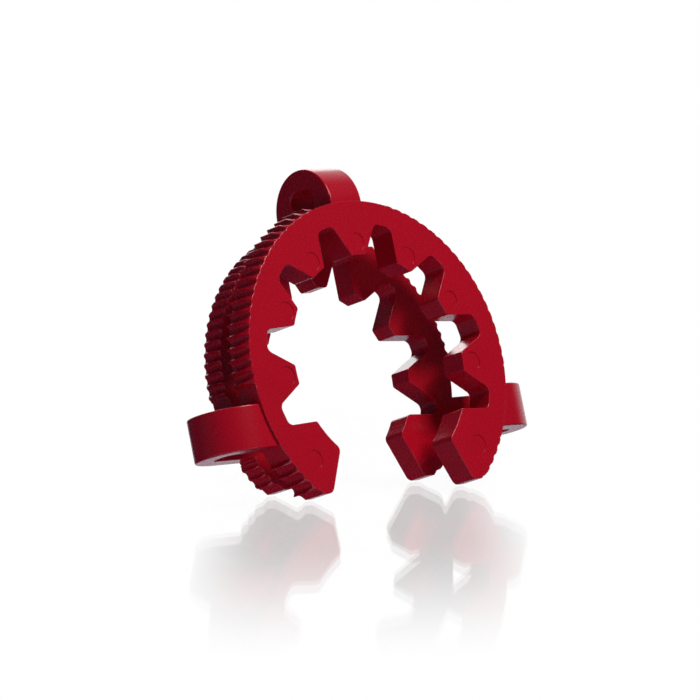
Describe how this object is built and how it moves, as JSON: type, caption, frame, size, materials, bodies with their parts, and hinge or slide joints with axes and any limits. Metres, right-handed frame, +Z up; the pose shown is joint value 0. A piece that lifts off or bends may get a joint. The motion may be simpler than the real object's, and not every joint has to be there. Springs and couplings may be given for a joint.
{
  "type": "ground glass joint clip",
  "caption": "Moulded plastic spring clip with two toothed rings joined by bowed loops, open at the bottom, that holds a ground glass cone and socket joint together.",
  "frame": {"origin": "middle of the footprint, at the level of the soles that the clip stands on", "axes": "+Z up as the clip stands on its feet, leaning back 16 degrees; -Y is the side of the wide ring, for the socket; X runs across the clip, through its side loops"},
  "size_m": [0.0642, 0.0262, 0.0493],
  "materials": {
    "clip": "satin moulded acetal in solid red, a little shinier at the edges"
  },
  "bodies": {
    "root": {"clip": "clip"}
  },
  "joints": []
}
